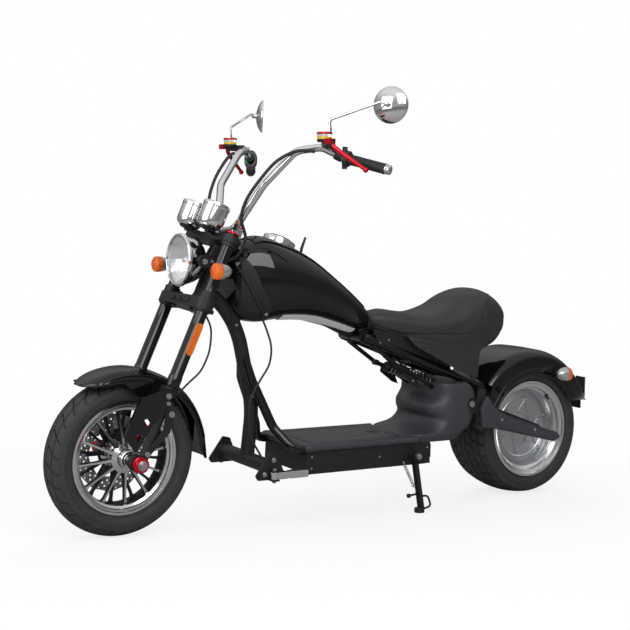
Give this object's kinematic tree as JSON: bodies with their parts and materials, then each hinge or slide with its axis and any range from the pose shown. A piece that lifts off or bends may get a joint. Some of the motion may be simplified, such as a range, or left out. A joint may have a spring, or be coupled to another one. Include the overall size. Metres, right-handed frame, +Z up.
{
  "type": "electric chopper scooter",
  "caption": "Electric chopper scooter with a fat hub-motor rear wheel, high chrome bars, teardrop tank cover and bucket seat, parked on its side stand.",
  "frame": {"origin": "on the ground below the middle of the parked scooter's outer box", "axes": "+X points forward, +Y to the rider's left, +Z up from the ground; the scooter leans to the left by 4 degrees"},
  "size_m": [2.1665, 0.9002, 1.4205],
  "materials": {
    "gloss_black": "gloss",
    "satin_black": "satin",
    "frame_grey": "satin",
    "grey_plastic": "grained",
    "black_plastic": "matt",
    "chrome": "polished",
    "aluminium": "machined",
    "steel": "brushed",
    "red_anodised": "anodised",
    "tyre": "matt",
    "rubber": "matt",
    "leather": "satin grain",
    "lamp_orange": "gloss",
    "lens": "clear"
  },
  "bodies": {
    "chassis": {"head_tube": "gloss_black", "frame": "frame_grey", "deck_loops": "gloss_black", "seat_rails": "gloss_black", "deck": "grey_plastic", "battery_box": "satin_black", "rear_cover": "grey_plastic", "tank": "gloss_black", "tank_lid": "chrome", "tank_side_panels": "satin_black", "tank_strip": "aluminium", "seat": "leather", "swingarm": "satin_black", "arm_covers": "grey_plastic", "rear_axle": "steel", "rear_shocks": "steel", "rear_fender": "gloss_black", "plate_holder": "black_plastic", "rear_lamps": "lamp_orange", "rear_caliper": "satin_black", "rear_hose": "rubber"},
    "side_stand": {"stand_leg": "satin_black", "stand_spring": "steel"},
    "peg_left": {"peg_left": "aluminium"},
    "peg_right": {"peg_right": "aluminium"},
    "rear_wheel": {"rear_tyre": "tyre", "rear_rim": "aluminium", "motor_hub": "aluminium"},
    "front_wheel": {"front_tyre": "tyre", "front_rim": "aluminium", "front_disc": "steel"},
    "front_end": {"triple_clamps": "satin_black", "fork_tubes": "gloss_black", "fork_legs": "satin_black", "fork_plates": "gloss_black", "front_axle": "red_anodised", "front_caliper": "red_anodised", "front_fender": "gloss_black", "headlight": "chrome", "headlight_lens": "lens", "front_signals": "lamp_orange", "gauges": "chrome", "handlebar": "chrome", "grips": "rubber", "brake_controls": "red_anodised", "switch_pods": "black_plastic", "mirrors": "chrome", "cable_looms": "rubber", "front_hose": "rubber"}
  },
  "joints": [
    {"name": "steering", "type": "hinge", "parent": "chassis", "child": "front_end", "pos_m": [0.55375, -0.03746, 0.79805], "axis": [-0.3746, 0.0647, 0.9249], "range_deg": [-25, 25]},
    {"name": "front_wheel_spin", "type": "hinge", "parent": "front_end", "child": "front_wheel", "pos_m": [0.84675, -0.07677, 0.23592], "axis": [0, 0.9976, -0.0698], "continuous": true},
    {"name": "rear_wheel_spin", "type": "hinge", "parent": "chassis", "child": "rear_wheel", "pos_m": [-0.73125, -0.07657, 0.23872], "axis": [0, 0.9976, -0.0698], "continuous": true},
    {"name": "side_stand_fold", "type": "hinge", "parent": "chassis", "child": "side_stand", "pos_m": [-0.17125, 0.0776, 0.17852], "axis": [0, 0.9976, -0.0698], "range_deg": [0, 85], "deforming": ["stand_spring"]},
    {"name": "peg_left_fold", "type": "hinge", "parent": "chassis", "child": "peg_left", "pos_m": [0.39875, 0.08946, 0.16165], "axis": [0, 0.0698, 0.9976], "range_deg": [-90, 0]},
    {"name": "peg_right_fold", "type": "hinge", "parent": "chassis", "child": "peg_right", "pos_m": [0.39875, -0.25171, 0.18551], "axis": [0, 0.0698, 0.9976], "range_deg": [0, 90]}
  ]
}
